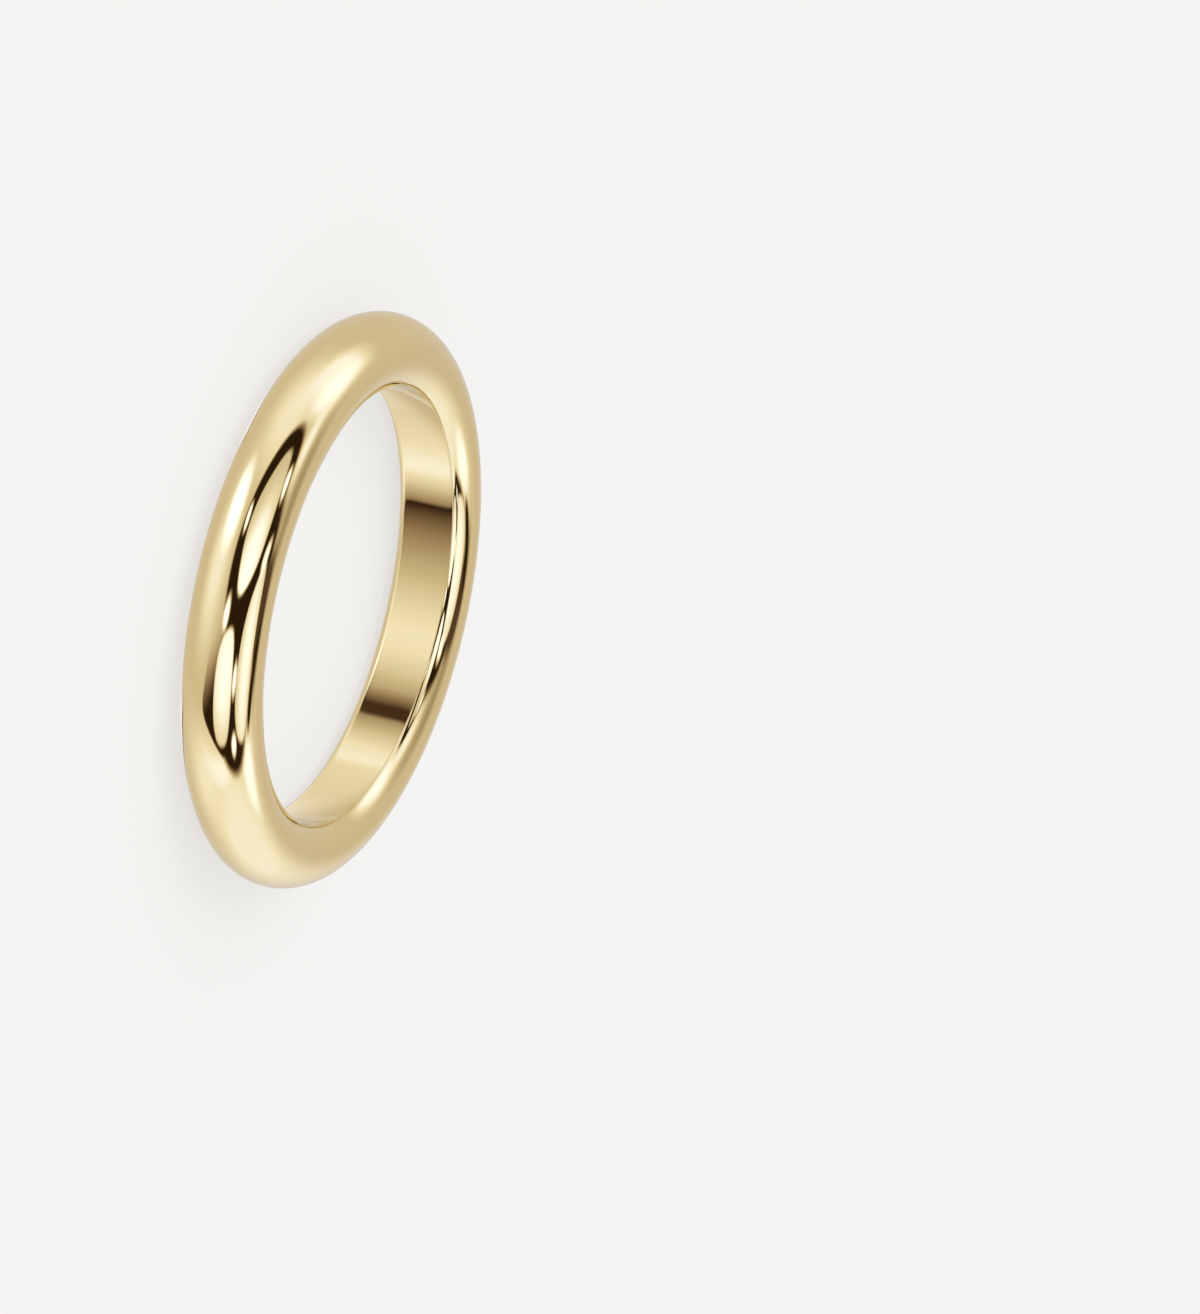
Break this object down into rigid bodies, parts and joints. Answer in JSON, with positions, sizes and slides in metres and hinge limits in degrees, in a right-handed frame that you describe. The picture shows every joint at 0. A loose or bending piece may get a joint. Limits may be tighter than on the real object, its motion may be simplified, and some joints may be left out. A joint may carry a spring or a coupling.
{
  "type": "stackable ring",
  "caption": "Plain stackable finger ring: a domed, polished yellow gold band with a comfort-rounded bore edge, lying on its side.",
  "frame": {"origin": "centre of the ring, on the surface that it rests on", "axes": "+Z along the ring's axis, upwards as it lies on its side; the ring is the same all round, so X and Y are free"},
  "size_m": [0.0216, 0.0216, 0.003],
  "materials": {
    "gold": "mirror polished pale yellow gold"
  },
  "bodies": {
    "root": {"band": "gold"}
  },
  "joints": []
}
